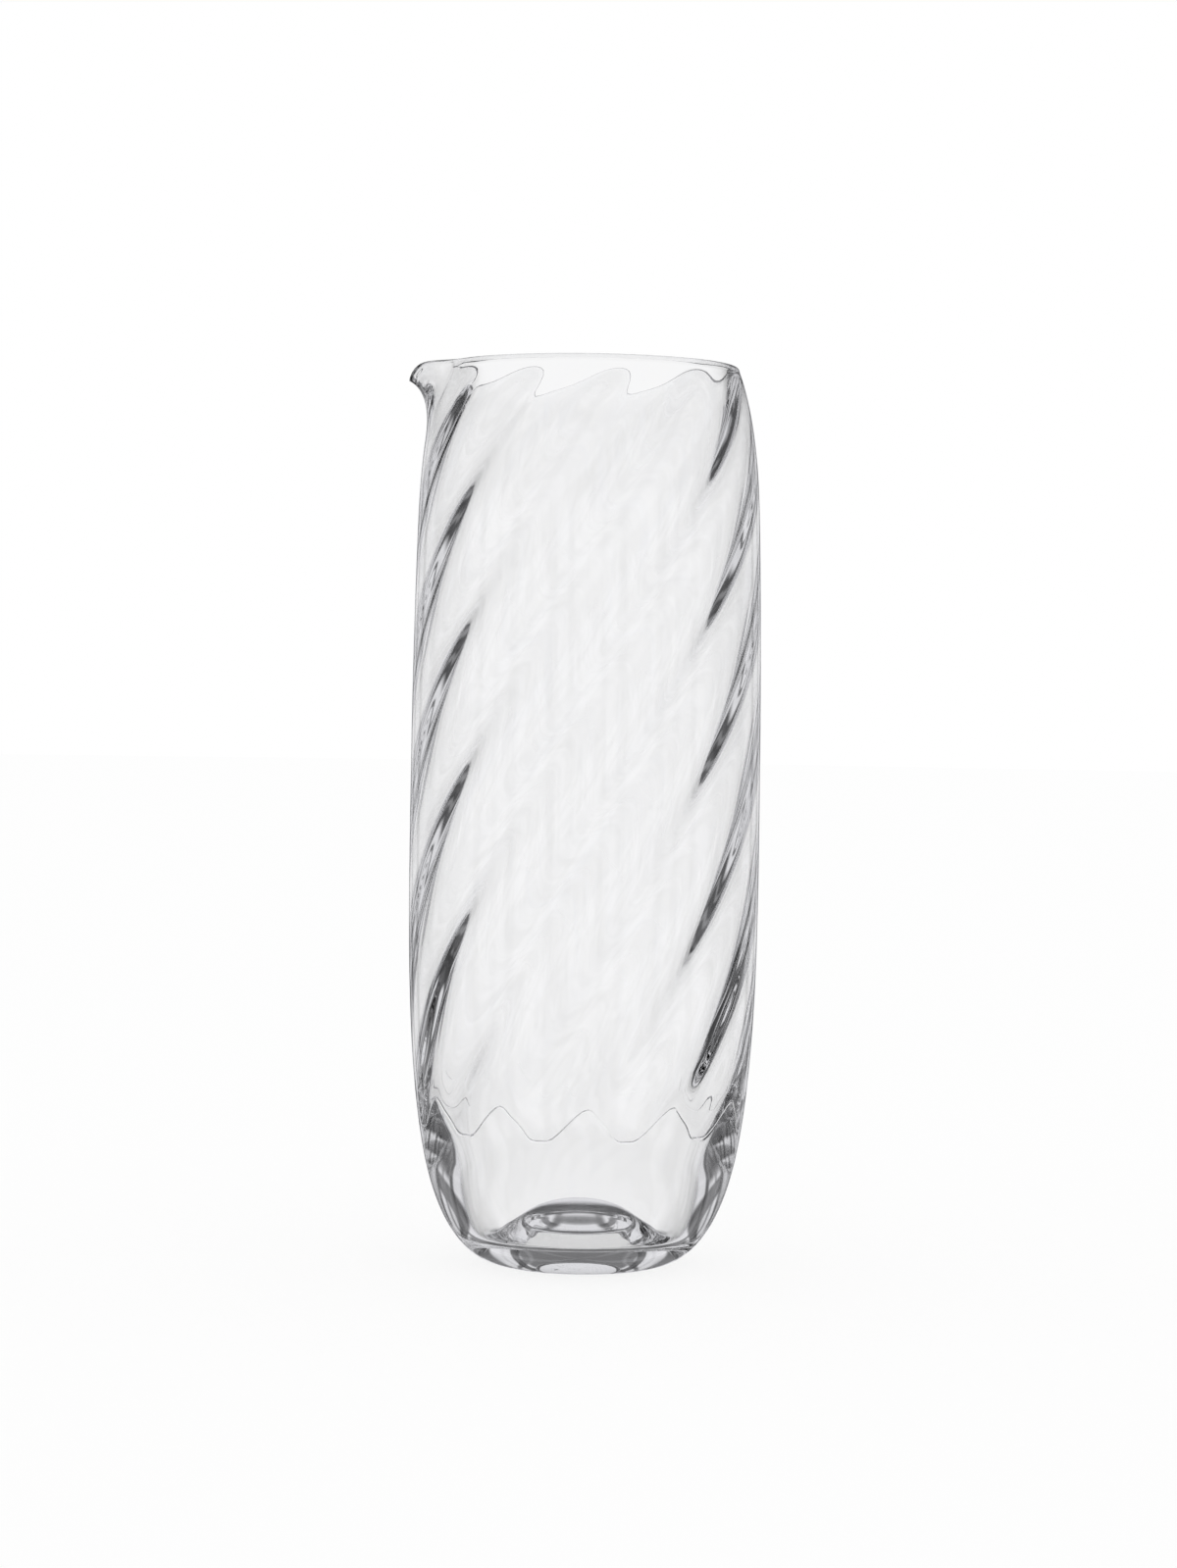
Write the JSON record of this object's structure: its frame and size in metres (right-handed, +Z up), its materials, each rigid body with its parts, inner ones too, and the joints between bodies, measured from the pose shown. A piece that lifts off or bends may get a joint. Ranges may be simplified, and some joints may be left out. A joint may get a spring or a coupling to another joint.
{
  "type": "glass carafe",
  "caption": "Tall clear glass carafe, a rounded cylinder with twisted ribs inside, a thick round base and a small pouring lip pulled from the rim.",
  "frame": {"origin": "middle of the foot, on the surface that the carafe stands on", "axes": "+Z up along the axis of the vessel, the pouring lip points along -X, and the picture's camera looks along +Y"},
  "size_m": [0.097, 0.0952, 0.244],
  "materials": {
    "glass": "clear, colourless, fire-polished soda-lime glass"
  },
  "bodies": {
    "root": {"glass_body": "glass"}
  },
  "joints": []
}
